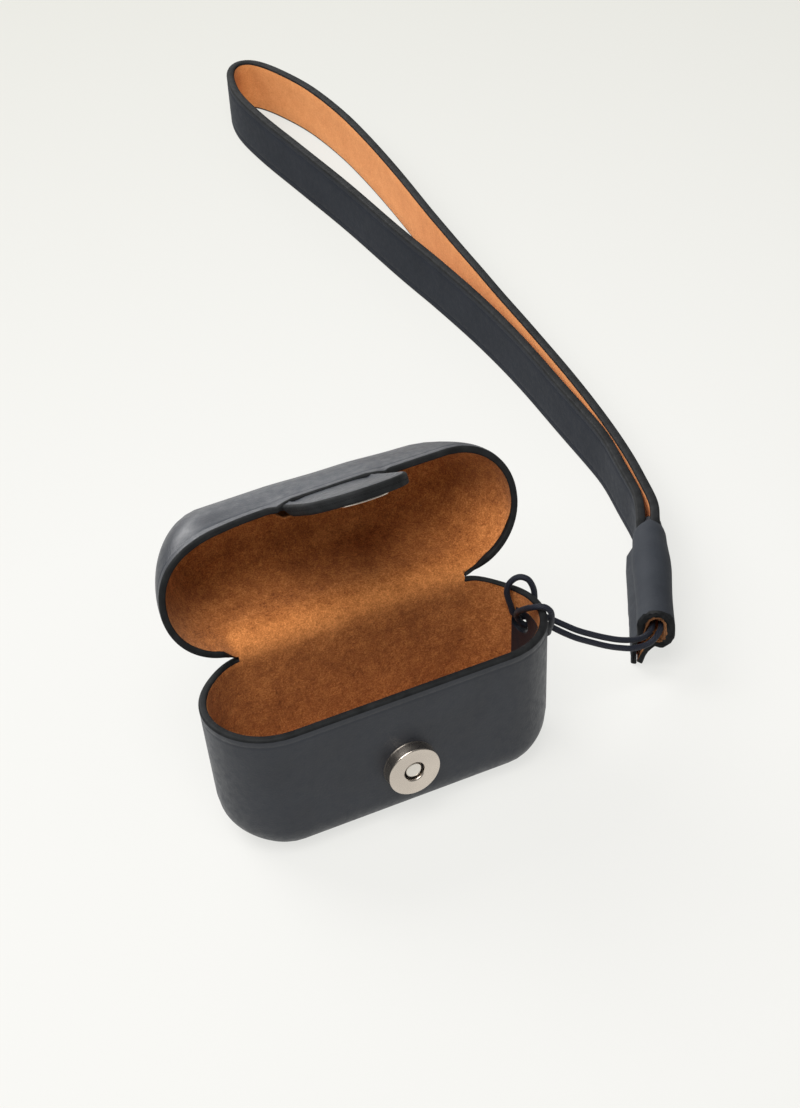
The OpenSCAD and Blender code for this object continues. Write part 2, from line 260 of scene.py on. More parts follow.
def leather_material(name, dark, light, rough=(0.38, 0.56), specular=0.5):
    m = Nodes(name)
    broad = m.noise(90, 3, 0.55)
    mid = m.noise(700, 3, 0.6)
    both = m.math("ADD", m.math("MULTIPLY", broad, 0.65), m.math("MULTIPLY", mid, 0.35))
    base = m.ramp(both, [(0.32, dark), (0.68, light)])
    cells = m.voronoi(2600, "SMOOTH_F1")
    fine = m.noise(6500, 2, 0.6)
    pores = m.span(cells, 0.0, 0.55)
    m.colour(base)
    m.rough(m.span(mid, 0.3, 0.7, *rough))
    first = m.bump(m.math("ADD", pores, m.math("MULTIPLY", fine, 0.5)), 0.00003, 0.55)
    m.normal(m.bump(m.noise(260, 3, 0.5), 0.00012, 0.35, first))
    m.set(Specular_IOR_Level=specular, Sheen_Weight=0.02, Sheen_Roughness=0.5)
    m.shader.inputs["Sheen Tint"].default_value = (0.75, 0.8, 0.9, 1.0)
    return m.material


def suede_material(name, deep, mid_tone, light, nap=1.0, crest_highlight=0.0):
    """Suede, which can be lightened along the hinge's bend: a painted highlight for the light that the ridge
    catches, partly also the paler nap of suede stretched over it.
    """
    m = Nodes(name)
    broad = m.noise(110, 4, 0.6, distortion=0.4)
    patch = m.noise(480, 4, 0.65)
    fibre = m.noise(1500, 5, 0.8, distortion=1.0)
    speck = m.noise(3400, 3, 0.75)
    tone = m.math("ADD", m.math("MULTIPLY", broad, 0.16), m.math("MULTIPLY", patch, 0.16))
    tone = m.math("ADD", tone, m.math("MULTIPLY", fibre, 0.36))
    tone = m.math("ADD", tone, m.math("MULTIPLY", speck, 0.32))
    shade = m.ramp(tone, [(0.40, deep), (0.5, mid_tone), (0.60, light)])
    # painted highlight: the colour is made lighter near the hinge's bend, where the ridge catches the light
    if crest_highlight:
        place = m.node("ShaderNodeSeparateXYZ")
        m.link(m.coords(), place.inputs[0])
        y = m.math("MULTIPLY", m.math("ADD", place.outputs["Y"], -0.0128), 1000.0)
        z = m.math("MULTIPLY", m.math("ADD", place.outputs["Z"], -0.0312), 1000.0)
        away = m.math("ADD", m.math("MULTIPLY", y, y), m.math("MULTIPLY", z, z))
        crest_highlight_mask = m.math("MULTIPLY", m.span(away, 14.0, 0.5), crest_highlight)
        highlight_colour = m.ramp(tone, [(0.40, mid_tone), (0.60, tuple(min(1.0, c * 1.35) for c in light))])
        shade = m.mix(crest_highlight_mask, shade, highlight_colour)
    m.colour(shade)
    m.rough(m.span(patch, 0.3, 0.7, 0.88, 0.98))
    height = m.math("ADD", fibre, m.math("MULTIPLY", speck, 0.6))
    m.normal(m.bump(height, 0.00018 * nap, 0.9))
    m.set(Specular_IOR_Level=0.08, Sheen_Weight=0.12, Sheen_Roughness=0.6)
    m.shader.inputs["Sheen Tint"].default_value = (1.0, 0.72, 0.5, 1.0)
    return m.material


def paint_material(name, dark, light):
    m = Nodes(name)
    n = m.noise(420, 3, 0.6)
    m.colour(m.ramp(n, [(0.3, dark), (0.7, light)]))
    m.rough(m.span(m.noise(900, 2, 0.5), 0.3, 0.7, 0.5, 0.65))
    m.normal(m.bump(m.noise(1300, 3, 0.6), 0.00005, 0.4))
    m.set(Specular_IOR_Level=0.07)
    return m.material


def metal_material(name, colour, rough, spread=0.08, bump=0.3):
    m = Nodes(name)
    n = m.noise(1400, 4, 0.6)
    tint = m.noise(160, 2, 0.5)
    darker = tuple(c * 0.88 for c in colour)
    m.colour(m.ramp(tint, [(0.35, darker), (0.65, colour)]))
    m.rough(m.span(n, 0.3, 0.7, rough, rough + spread))
    m.normal(m.bump(m.noise(500, 2, 0.4), 0.00001, bump))
    m.set(Metallic=1.0)
    return m.material


def cord_material(name, dark, light):
    m = Nodes(name)
    uv = m.coords("UV")
    wave = m.node("ShaderNodeTexWave")
    wave.wave_type = "BANDS"
    wave.bands_direction = "DIAGONAL"
    wave.inputs["Scale"].default_value = 1.0
    wave.inputs["Distortion"].default_value = 1.2
    wave.inputs["Detail"].default_value = 2.0
    wave.inputs["Detail Scale"].default_value = 1.5
    m.link(uv, wave.inputs["Vector"])
    strands = wave.outputs["Fac"]
    m.colour(m.mix(m.span(strands, 0.1, 0.9, 0.0, 1.0), dark, light))
    m.rough(m.span(m.noise(1500, 2, 0.5), 0.3, 0.7, 0.45, 0.62))
    height = m.math("ADD", strands, m.math("MULTIPLY", m.noise(5200, 2, 0.6), 0.5))
    m.normal(m.bump(height, 0.00006, 0.7))
    m.set(Specular_IOR_Level=0.16, Sheen_Weight=0.04)
    return m.material


NAVY = leather_material("leather_navy", (0.0060, 0.0082, 0.0142), (0.0115, 0.0150, 0.0235))
NAVY_STRAP = leather_material("leather_navy_strap", (0.0095, 0.0115, 0.0160), (0.0150, 0.0175, 0.0235),
                              (0.55, 0.7), specular=0.06)
NAVY_KEEPER = leather_material("leather_navy_keeper", (0.0200, 0.0225, 0.0280), (0.0300, 0.0335, 0.0400),
                               (0.6, 0.75), specular=0.08)
# the case's suede, with a painted highlight along the hinge's bend
SUEDE = suede_material("suede_tan", (0.16, 0.046, 0.011), (0.385, 0.130, 0.034), (0.66, 0.26, 0.078),
                       crest_highlight=0.6)
TAN = suede_material("strap_tan", (0.48, 0.185, 0.058), (0.58, 0.24, 0.082), (0.66, 0.30, 0.110), 0.4)
TAN_EDGE = suede_material("tan_cut_edge", (0.11, 0.045, 0.020), (0.20, 0.085, 0.035), (0.30, 0.135, 0.06),
                          1.0)
PAINT = paint_material("edge_paint", (0.009, 0.0095, 0.010), (0.017, 0.018, 0.019))
NICKEL = metal_material("nickel", (0.66, 0.59, 0.52), 0.24)
NICKEL_BRIGHT = metal_material("nickel_boss", (0.80, 0.76, 0.70), 0.3)
STEEL = metal_material("steel", (0.42, 0.38, 0.35), 0.3)
MAGNET = metal_material("magnet", (0.12, 0.12, 0.13), 0.45)
CORD = cord_material("cord_waxed", (0.006, 0.007, 0.012), (0.018, 0.021, 0.033))


# ---------------------------------------------------------------- cord
CORD_ROUTE = [
    (65.6, 12.8, 9.6), (63.4, 8.6, 9.6), (61, 3.9, 9.6), (58.2, 1.7, 9.8), (55.2, 1, 10.6),
    (52.3, 0.7, 11.9), (49.3, 0.7, 13.6), (46.2, 0.8, 15.6), (43.1, 1.1, 17.7), (40.5, 1.8, 19.7),
    (38.3, 2.8, 21.3), (36.7, 3.6, 22.3), (35.2, 4, 22.7), (33.7, 4.2, 22.8), (32.3, 4.3, 23.3),
    (31.1, 4.4, 24.6), (30.8, 4.6, 26.2), (30.5, 4.9, 27.8), (30.4, 5.2, 29.4), (30.9, 5.2, 31),
    (32, 4.9, 32.1), (33.2, 4.4, 32.4), (34.4, 3.7, 31.7), (35, 3.1, 30), (35.2, 3.1, 28),
    (35.4, 3.8, 25.8), (35.7, 5, 23.8), (36, 5.3, 21.7), (36.3, 4.2, 19.9), (36.5, 2.2, 19.1),
    (36.4, 0.6, 20.2), (36.1, -0.6, 22), (35.7, -2.3, 24.4), (35.3, -3.6, 26.9), (34.9, -4.2, 29),
    (34, -4, 30.3), (32.8, -3.4, 30.6), (31.6, -2.2, 30), (31, -0.2, 28.5), (30.9, 1.7, 26.7),
    (31.1, 2.9, 25.1), (31.6, 3, 23.5), (32.5, 2.8, 22.3), (33.7, 2.6, 22), (35.2, 2.6, 21.8),
    (36.7, 2.3, 21.1), (38.2, 1.7, 19.9), (40.2, 1.1, 18.2), (42.7, 0.7, 16.2), (45.6, 0.5, 14.2),
    (48.6, 0.2, 12.3), (51.6, 0, 10.7), (54.8, -0.2, 9.5), (58.6, 0.2, 9.1), (62.3, 2.7, 9.5),
    (65, 7.6, 9.6), (67.2, 11.9, 9.6)]
CORD_D = 1.2


def tube(name, route, diameter, material, steps=16, sub=7):
    """A round tube along a smoothed route; returns the piece and the path that it follows."""
    path = catmull(route, sub)
    n = len(path)
    normal = Vector((0.1, 0.2, 1.0))
    rings, uv = [], []
    run = 0.0
    for i, p in enumerate(path):
        t = (path[min(i + 1, n - 1)] - path[max(i - 1, 0)]).normalized()
        normal = (normal - t * normal.dot(t)).normalized()
        side = t.cross(normal)
        if i:
            run += (p - path[i - 1]).length
        rings.append([p + (normal * cos(2 * pi * k / steps) + side * sin(2 * pi * k / steps)) * diameter / 2
                      for k in range(steps)])
        uv += [(k / steps * 6.0, run * 1.1) for k in range(steps)]
    verts, faces, _ = rings_mesh(rings)
    return make(name, verts, faces, [material], None, None, True, uv), path


cord_piece, cord_path = tube("lanyard_cord", CORD_ROUTE, CORD_D, CORD)
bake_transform(cord_piece)
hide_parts("cord")


# ---------------------------------------------------------------- sizes, as in the CAD
H = 29.3
R_END = 12.7
X_END = 22.1
CORNER = 6.2
ALPHA = math.atan(1.0 / H)
FILLET_X = R_END - (H - CORNER) * math.tan(ALPHA) - CORNER / cos(ALPHA)
BASE_T = 1.6
LID_T = 1.4
LID_L, LID_D, LID_H = 72.8, 26.2, 19.0
LID_OFF = -0.4
LID_OPEN = rad(101.5)
PIVOT = Vector((0.0, 12.55, 33.3))
RIM_Z = H + 0.3
HINGE_L, HINGE_R = -22.5, 24.4
BACK_START = 2.2
TAB_X = 10.0

OPENED = (Matrix.Translation(PIVOT) @ Matrix.Rotation(-LID_OPEN, 4, "X") @ Matrix.Translation(-PIVOT))


def wall_r(z):
    return R_END - (H - z) * math.tan(ALPHA)


# ---------------------------------------------------------------- outlines
SPLIT = 26.0
NEAR_HINGE = (1.5, 1.2, 0.9, 0.65, 0.45, 0.3, 0.16, 0.06, -0.02, -0.1, -0.9, -2.1)
BACK_X = ([SPLIT] + [HINGE_R + d for d in NEAR_HINGE] + [20.4 - 1.8 * i for i in range(23)]
          + [HINGE_L - d for d in reversed(NEAR_HINGE)] + [-25.0, -SPLIT])
FRONT_X = [-SPLIT, -24.0, -22.0, -20.0, -18.0, -16.2, -14.8, -13.8, -13.2, -12.8, -12.4, -12.0, -11.6,
           -11.0, -9.5, -7.5, -5.5, -3.5, -1.5]
FRONT_X = FRONT_X + [-x for x in reversed(FRONT_X)]
END_STEPS = 40


def outline(a, r):
    """Points of a stadium with the same makeup at every level: (x, y, where, distance past the hinge)."""
    out = []
    fit = min(1.0, (a + 0.85 * r) / SPLIT)
    ws = math.acos(min(max((SPLIT * fit - a) / r, -1.0), 1.0))
    for k in range(1, END_STEPS):
        w = -ws + 2 * ws * k / END_STEPS
        out.append((a + r * cos(w), r * sin(w), "right", 9.0))
    for q in BACK_X:
        dx = max(abs(q * fit) - a, 0.0)
        out.append((q * fit, math.sqrt(max(r * r - dx * dx, 0.0)), "back", max(q - HINGE_R, HINGE_L - q)))
    for k in range(1, END_STEPS):
        w = ws - 2 * ws * k / END_STEPS
        out.append((-(a + r * cos(w)), r * sin(w), "left", 9.0))
    for q in FRONT_X:
        dx = max(abs(q * fit) - a, 0.0)
        out.append((q * fit, -math.sqrt(max(r * r - dx * dx, 0.0)), "front", 9.0))
    return out


def notch(past, radius=0.6):
    """Height that a rim climbs in the fillet beside the hinge."""
    if past >= radius or past < -1.0:
        return 0.0
    return radius - math.sqrt(max(radius * radius - (radius - max(past, 0.0)) ** 2, 0.0))


RISE_RIGHT, RISE_LEFT = 1.6, 1.1  # how far the base's back rims stand up beside the hinge


def base_ring(r, z, ragged=0.0):
    """Ring of the base with end radius r at height z; its ends draw in towards the bottom."""
    ring = []
    ends = 0.7 * (1 - z / H) + 1.3 * (1 - smooth01(z / 9.0))
    for x, y, side, past in outline(X_END, max(r, 2.2)):
        zz = z
        lift = smooth01((z - (H - 6.0)) / 6.0)
        if y > 0 and past >= -0.03:
            rise = (RISE_RIGHT * smooth01((33.0 - x) / 8.0) if x > 0
                    else RISE_LEFT * smooth01((32.0 + x) / 9.0))
            zz += lift * (notch(past, 0.15) + rise)
        elif side == "back":
            zz -= lift * 1.2
        if ragged:
            zz += ragged * wobble(x * 1.3 + y * 1.1, 0.6)
        x -= math.copysign(ends * smooth01((abs(x) - 16.0) / 16.0), x)
        ring.append((x, y, zz))
    return ring


def scaled(ring, s, z=None):
    return [(x * s, y * s, zz if z is None else z) for x, y, zz in ring]


# ---------------------------------------------------------------- base
def base_leather():
    rings, mats = [], []

    def add(ring, mat=0):
        rings.append(ring)
        mats.append(mat)

    first = base_ring(FILLET_X, 0.0)
    for s in (0.02, 0.45, 0.8):
        add(scaled(first, s))
    for i in range(15):
        w = -pi / 2 + (pi / 2 - ALPHA) * i / 14
        add(base_ring(FILLET_X + CORNER * cos(w), CORNER + CORNER * sin(w)))
    for i in range(1, 10):
        z = lerp(CORNER, H - 2.5, i / 9)
        add(base_ring(wall_r(z), z))
    for drop, inset in ((2.5, 0.0), (2.2, 0.01), (2.0, 0.07), (1.85, 0.075), (1.65, 0.02), (1.3, -0.02)):
        add(base_ring(wall_r(H - drop) - inset, H - drop), 0)
    e = 0.6
    for i in range(7):
        w = pi / 2 * i / 6
        add(base_ring(wall_r(H) - e + e * cos(w), H - e + e * sin(w)), 1)
    add(base_ring(wall_r(H) - 0.9, H + 0.02), 1)
    g = 0.4
    for i in range(6):
        w = pi / 2 + pi / 2 * i / 5
        add(base_ring(wall_r(H) - BASE_T + 0.05 + g + g * cos(w), H - g + g * sin(w)), 1)
    add(base_ring(wall_r(H) - BASE_T + 0.05, H - 0.5, 0.1), 1)
    add(base_ring(wall_r(H) - BASE_T + 0.15, H - 0.75, 0.1), 1)
    add(base_ring(wall_r(H) - 1.35, H - 1.2))
    for i in range(5):
        z = lerp(H - 3.0, CORNER, i / 4)
        add(base_ring(wall_r(z) - 1.3, z))
    for i in range(1, 7):
        w = -ALPHA - (pi / 2 - ALPHA) * i / 6
        add(base_ring(FILLET_X + (CORNER - 1.3) * cos(w), CORNER + (CORNER - 1.3) * sin(w)))
    last = base_ring(FILLET_X, 1.3)
    for s in (0.6, 0.02):
        add(scaled(last, s))
    verts, faces, level = rings_mesh(rings)
    return make("base_leather", verts, faces, [NAVY, PAINT], [max(mats[i], mats[i + 1]) if mats[i] == 1 else 0
                                                             for i in level])


def base_suede():
    t, hidden = BASE_T, 1.34
    rings = []
    for i in range(8):
        z = lerp(H - 0.42, CORNER, i / 7)
        rings.append(base_ring(wall_r(z) - t, z, 0.07 if i == 0 else 0.0))
    for i in range(1, 11):
        w = -ALPHA - (pi / 2 - ALPHA) * i / 10
        rings.append(base_ring(FILLET_X + (CORNER - t) * cos(w), CORNER + (CORNER - t) * sin(w)))
    last = base_ring(FILLET_X, t)
    for s in (0.7, 0.35, 0.02):
        rings.append(scaled(last, s))
    back = []
    for i in range(5):
        z = lerp(H - 0.62, CORNER, i / 4)
        back.append(base_ring(wall_r(z) - hidden, z))
    for i in range(1, 6):
        w = -ALPHA - (pi / 2 - ALPHA) * i / 5
        back.append(base_ring(FILLET_X + (CORNER - hidden) * cos(w), CORNER + (CORNER - hidden) * sin(w)))
    back.append(scaled(base_ring(FILLET_X, hidden), 0.02))
    verts, faces, level = rings_mesh(list(reversed(back)) + rings)
    return make("base_suede", verts, faces, [SUEDE])


def cut_hole(obj, centre, radius, length):
    """Bore a round hole along X through a closed mesh."""
    n = 40
    rings = [[(centre[0] + s * length / 2, centre[1] + radius * cos(2 * pi * j / n),
               centre[2] + radius * sin(2 * pi * j / n)) for j in range(n)] for s in (-1, 1)]
    verts, faces, _ = rings_mesh(rings)
    tool = make("hole_tool", verts, faces, [])
    cut = obj.modifiers.new("hole", "BOOLEAN")
    cut.object = tool
    cut.operation = "DIFFERENCE"
    cut.solver = "EXACT"
    bpy.context.view_layer.update()
    mesh = bpy.data.meshes.new_from_object(obj.evaluated_get(bpy.context.evaluated_depsgraph_get()))
    old = obj.data
    obj.modifiers.clear()
    obj.data = mesh
    bpy.data.meshes.remove(old)
    bpy.data.objects.remove(tool)
    mesh.polygons.foreach_set("use_smooth", [True] * len(mesh.polygons))
    mesh.set_sharp_from_angle(angle=rad(42))
    return obj


def lanyard_patch():
    """Navy patch inside the right-hand end, round the hole."""
    n, rings = 26, []
    zs = [8.0 + 17.6 * i / 16 for i in range(17)]
    t0, t1 = BASE_T + 0.14, BASE_T - 0.25

    def row(z, t, pull=0.0):
        r = wall_r(z) - t
        drop = smooth01((z - 22.5) / 3.5)
        lo, hi = -math.asin((8.0 - pull) / r), math.asin((lerp(5.6, 4.6, drop) - pull) / r)
        ends = 0.7 * (1 - z / H) + 1.3 * (1 - smooth01(z / 9.0))
        return [(X_END - ends * smooth01((X_END + r * cos(lerp(lo, hi, k / n)) - 16) / 16)
                 + r * cos(lerp(lo, hi, k / n)), r * sin(lerp(lo, hi, k / n)), z) for k in range(n + 1)]

    for z in zs:
        rings.append(row(z, t0, 0.15) + list(reversed(row(z, t1))))
    verts, faces, _ = rings_mesh(rings)
    return make("lanyard_patch_navy", verts, faces, [NAVY])


HOLE = (33.0, 3.4, 22.3)
base_piece = cut_hole(base_leather(), HOLE, 2.0, 8.0)
base_lining_piece = cut_hole(base_suede(), HOLE, 2.08, 8.0)
patch_piece = cut_hole(lanyard_patch(), HOLE, 2.04, 8.0)
for piece, node, slot in ((base_piece, "base_shell", "leather_navy"),
                          (base_lining_piece, "base_lining", "suede_tan"),
                          (patch_piece, "lanyard_patch", "leather_navy")):
    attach(piece, "base")
    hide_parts(node)


# ---------------------------------------------------------------- lid
LID_N = 1.4


def lid_level(s, d):
    """Half straight length and end radius of the lid's outline, d inside its outer face."""
    h = LID_H - d
    t = math.asin(min(max(s / h, 0.0), 1.0) ** (LID_N / 2))
    k = 1.0 if s >= h else 1 - max(cos(t), 0.0) ** (2 / LID_N)
    ix, iy = (10.0 - 0.4 * d) * k, (6.4 - 0.3 * d) * k
    r = LID_D / 2 - d - iy
    return LID_L / 2 - d - ix - r, r


def lid_back_point(s, d=0.0):
    """A point of the lid's back wall, on the open lid, in Y and Z."""
    p = OPENED @ Vector((0.0, LID_OFF + lid_level(s, d)[1], RIM_Z + s))
    return Vector((p.y, p.z))


JOIN = 7.7


def bend():
    """Outer skin of the hinge from the base's rim to the lid's back wall."""
    h0, h3 = Vector((R_END, H)), lid_back_point(JOIN)
    tangent = (lid_back_point(JOIN + 0.1) - lid_back_point(JOIN - 0.1)).normalized()
    h1, h2 = h0 + Vector((0.0, 2.6)), h3 - 2.4 * tangent
    out = []
    for i in range(41):
        t = i / 40
        out.append((1 - t) ** 3 * h0 + 3 * t * (1 - t) ** 2 * h1 + 3 * t * t * (1 - t) * h2 + t ** 3 * h3)
    return out


BEND = bend()


def bend_at(f, d):
    """Point a fraction f along the bend and d inside its skin; it meets the lid's inner face at the end."""
    g = min(max(f, 0.0), 1.0) * (len(BEND) - 1)
    i = min(int(g), len(BEND) - 2)
    t = (BEND[i + 1] - BEND[i]).normalized()
    p = BEND[i].lerp(BEND[i + 1], g - i) + Vector((-t.y, t.x)) * d * lerp(BASE_T / LID_T, 1.0, smooth01(f))
    t = (BEND[-1] - BEND[-2]).normalized()
    miss = lid_back_point(JOIN, d) - BEND[-1] - Vector((-t.y, t.x)) * d
    return p + miss * smooth01((f - 0.25) / 0.75)


def lid_ring(s, d, kind="shell", ragged=0.0):
    """Ring of the open lid at height s above its rim and d inside its outer face."""
    ring = []
    a, r = lid_level(s, d)
    for x, y, side, past in outline(a, r):
        zz = s
        if y > 0:
            start = notch(past, 0.25) if past >= -0.03 else BACK_START
            if start:
                zz = start + s * (LID_H - start) / LID_H
                a2, r2 = lid_level(min(zz, LID_H - d), d)
                dx = max(abs(x) - a2, 0.0)
                if side == "back":
                    y = math.sqrt(max(r2 * r2 - dx * dx, 0.0))
        if kind == "lining" and y > 0 and x > HINGE_R:
            zz += 0.8 * (1 - smooth01(s / 3.5)) * smooth01((y - 1.0) / 6.0)
        if y > 0 and past > 0:
            y += (0.5 if x < 0 else 0.4) * smooth01(past / 3.0) * (1 - smooth01(s / 7.0))
        low = 1 - smooth01(s / 6.0)
        front = max(-y / 13.0, 0.0)
        level = zz
        if y < 0:
            f = smooth01((TAB_X + 1.6 - abs(x)) / 1.6)
            y -= 0.4 * f * math.exp(-((s / 3.5) ** 2))
            if kind == "shell" and d > 0.6:
                y -= (d - 0.6) * 0.35 * f * (1 - smooth01((s - 1.5) / 3.0))
            if kind == "lining":
                y += 2.5 * f * (1 - smooth01((s - 3.2) / 3.0))
                zz += 0.5 * f * (1 - smooth01((s - 1.0) / 3.0))
            if kind == "shell":
                zz -= 1.4 * math.exp(-(((abs(x) - TAB_X - 0.4) / 1.1) ** 2)) * (1 - smooth01(s / 3.0)) * front
            y += 0.9 * math.exp(-((x + 27) ** 2 + (y + 11) ** 2) / 50.0) * low
            bulge = 1.7 * smooth01((7.0 - x) / 16.0) + 1.1 * math.exp(-(((x - 7.0) / 9.0) ** 2))
            y -= bulge * smooth01((s - 1.0) / 8.0) * front
        new_x = x + 0.45 * smooth01((x - 8.0) / 24.0)
        new_x += 0.6 * smooth01((x - 20.0) / 14.0) * sin(pi * min(s, 8.0) / 8.0)
        if ragged:
            zz += ragged * wobble(x * 1.2 + y, 2.1)
        p = OPENED @ Vector((new_x, y + LID_OFF, zz + RIM_Z))
        if y > 0 and level < JOIN:
            w = smooth01((HINGE_R + 4.0 - x) / 4.0) if x > 0 else smooth01((x - HINGE_L + 4.0) / 4.0)
            if w > 0:
                f = level / JOIN
                if past >= -0.03:
                    f += (1 - f) * (0.19 if x > 0 else 0.14)
                shift = (bend_at(f, d) - lid_back_point(level, d)) * w
                p += Vector((0.0, shift.x, shift.y))
        ring.append(p)
    return ring


def to_middle(ring, k):
    """The ring shrunk to k times its size about its own middle."""
    middle = sum(ring, Vector()) / len(ring)
    return [middle + (p - middle) * k for p in ring]


def lid_leather():
    rings, mats = [], []

    def add(ring, mat=0):
        rings.append(ring)
        mats.append(mat)

    for k in (0.02, 0.3, 0.6, 0.85):
        add(to_middle(lid_ring(LID_H, 0.0), k))
    for i in range(4, 34):
        t = pi / 2 * (1 - i / 38)
        s = LID_H * sin(t) ** (2 / LID_N)
        if s > 3.0:
            add(lid_ring(s, 0.0))
    for s, d in ((2.5, 0.0), (2.2, 0.01), (2.0, 0.07), (1.85, 0.075), (1.65, 0.02), (1.3, -0.02)):
        add(lid_ring(s, d), 0)
    e = 0.55
    for i in range(7):
        w = pi / 2 * i / 6
        add(lid_ring(e - e * sin(w), e - e * cos(w)), 1)
    add(lid_ring(0.0, 0.8), 1)
    g = 0.4
    for i in range(6):
        w = pi / 2 * i / 5
        add(lid_ring(g - g * cos(w), LID_T - 0.05 - g + g * sin(w)), 1)
    add(lid_ring(0.5, LID_T - 0.05, ragged=0.1), 1)
    add(lid_ring(0.75, LID_T - 0.15, ragged=0.1), 1)
    add(lid_ring(1.2, 1.1))
    for i in range(12):
        t = pi / 2 * (0.2 + 0.66 * i / 11)
        add(lid_ring((LID_H - 1.2) * sin(t) ** (2 / LID_N), 1.1))
    inner = lid_ring(LID_H - 1.1, 1.2)
    for k in (0.86, 0.5, 0.02):
        add(to_middle(inner, k))
    verts, faces, level = rings_mesh(rings)
    return make("lid_leather", verts, faces, [NAVY, PAINT], [1 if mats[i] == 1 else 0 for i in level])


def lid_suede():
    t, hidden = LID_T, 1.14
    rings = [lid_ring(0.42, t, "lining", 0.09)]
    for s in (1.0, 1.7, 2.4, 3.2, 4.0, 4.8, 5.6, 6.4):
        rings.append(lid_ring(s, t, "lining"))
    for i in range(22):
        w = pi / 2 * (0.3 + 0.58 * i / 21)
        s = (LID_H - t) * sin(w) ** (2 / LID_N)
        if s > 7.0:
            rings.append(lid_ring(s, t, "lining"))
    crown = lid_ring(LID_H - t, t, "lining")
    for k in (0.86, 0.6, 0.3, 0.02):
        rings.append(to_middle(crown, k))
    back = []
    for s in (0.62, 2.2, 3.8, 5.4, 8.0, 11.0, 14.0, 16.5, LID_H - 1.5):
        back.append(lid_ring(s, hidden, "lining"))
    back.append(to_middle(back[-1], 0.02))
    verts, faces, _ = rings_mesh(list(reversed(back)) + rings)
    return make("lid_suede", verts, faces, [SUEDE])


lid_piece = lid_leather()
lid_lining_piece = lid_suede()
for piece, node, slot in ((lid_piece, "lid_shell", "leather_navy"),
                          (lid_lining_piece, "lid_lining", "suede_tan")):
    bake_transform(piece)
    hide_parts(node)


# ---------------------------------------------------------------- hinge
STRIP_REACH = 0.62  # share of the bend that the strips cover; the lid covers the rest


def hinge_strips():
    """Leather and suede strips, from the base's back wall to part-way round the bend."""
    def dip(x):
        past = max(abs((HINGE_L + HINGE_R) / 2 + x) - X_END, 0.0)
        return R_END - math.sqrt(R_END ** 2 - past ** 2)

    stations = []
    for z in (24.6, 25.0, 25.6, 26.4, 27.4, 28.4):
        p = Vector((wall_r(z), z))
        stations.append((p, Vector((-1.0, math.tan(ALPHA))).normalized(), 0.0))
    for i in range(21):
        f = STRIP_REACH * i / 20
        stations.append((bend_at(f, 0.0), (bend_at(f, LID_T) - bend_at(f, 0.0)) / LID_T, f))
    n = len(stations)
    middle, half = (HINGE_L + HINGE_R) / 2, (HINGE_R - HINGE_L) / 2 + 0.12
    leather, suede = [], []
    for i, (p, inward_dir, f) in enumerate(stations):
        normal = inward_dir.normalized()
        top = inward_dir.length * LID_T if i > 5 else BASE_T
        near = min(i, n - 1 - i)
        sink = {0: 0.1, 1: 0.05, 2: 0.015}.get(near, 0.0)
        lip = top - 0.3
        e, g = 0.5, 0.4
        section = [(half - e - (2 * half - 2 * e) * k / 24, -0.05 + sink) for k in range(25)]
        for k in range(1, 6):
            w = pi / 2 * k / 5
            section.append((-half + e - e * sin(w), e - 0.05 + sink - e * cos(w)))
        for k in range(0, 6):
            w = pi / 2 * k / 5
            section.append((-half + g - g * cos(w), lip - g + g * sin(w)))
        section.append((-half + 0.6, top - 0.3))
        section += [(-half + 0.7 + (2 * half - 1.4) * k / 12, top - 0.32) for k in range(13)]
        section.append((half - 0.6, top - 0.3))
        for k in range(0, 6):
            w = pi / 2 * k / 5
            section.append((half - g + g * sin(w), lip - g + g * cos(w)))
        for k in range(0, 5):
            w = pi / 2 * k / 5
            section.append((half - e + e * cos(w), e - 0.05 + sink - e * sin(w)))
        leather.append([(middle + x, p.x + normal.x * o - dip(x), p.y + normal.y * o) for x, o in section])
        edge = half
        face = top + 0.03 - sink
        section = []
        for k in range(33):
            x = edge - 2 * edge * k / 32
            drop = 0.04 * smooth01((abs(x) - edge + 0.8) / 0.8)
            section.append((x, face - drop))
        section += [(-edge + 2 * edge * k / 12, top - 0.31) for k in range(13)]
        suede.append([(middle + x, p.x + normal.x * o - dip(x), p.y + normal.y * o) for x, o in section])
    verts, faces, level = rings_mesh([list(reversed(r)) for r in leather])
    m = len(leather[0])
    paint = set(range(m - 1 - 37, m - 1 - 24)) | set(range(0, 12))
    face_mats = [1 if (k < (n - 1) * m and (k % m) in paint) else 0 for k in range(len(faces))]
    band = make("hinge_band", verts, faces, [NAVY, PAINT], face_mats)
    verts, faces, _ = rings_mesh([list(reversed(r)) for r in suede])
    lining = make("hinge_suede", verts, faces, [SUEDE])
    return band, lining


hinge_piece, hinge_lining_piece = hinge_strips()
for piece, node, slot in ((hinge_piece, "hinge_leather", "leather_navy"),
                          (hinge_lining_piece, "hinge_lining", "suede_tan")):
    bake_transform(piece)
    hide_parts(node)


# ---------------------------------------------------------------- closure tab
TAB_LEN = 23.5
TAB_LIFT = rad(22.0)
TAB_T = 2.25
TAB_ROOT = Vector((0.0, -13.1, RIM_Z))
BUTTON_DROP = 17.4  # from the root to the middle of the disc
BUTTON_R = 4.7
TAB = OPENED @ Matrix.Translation(TAB_ROOT) @ Matrix.Rotation(-TAB_LIFT, 4, "X")


def tab_outline(d, top=3.0):
    r = TAB_X - d
    zc = -TAB_LEN + TAB_X
    pts = [(-r, top + (zc - top) * k / 12) for k in range(12)]
    pts += [(-r * cos(pi * k / 40), zc - r * sin(pi * k / 40)) for k in range(41)]
    pts += [(r, zc + (top - zc) * (k + 1) / 12) for k in range(12)]
    return pts


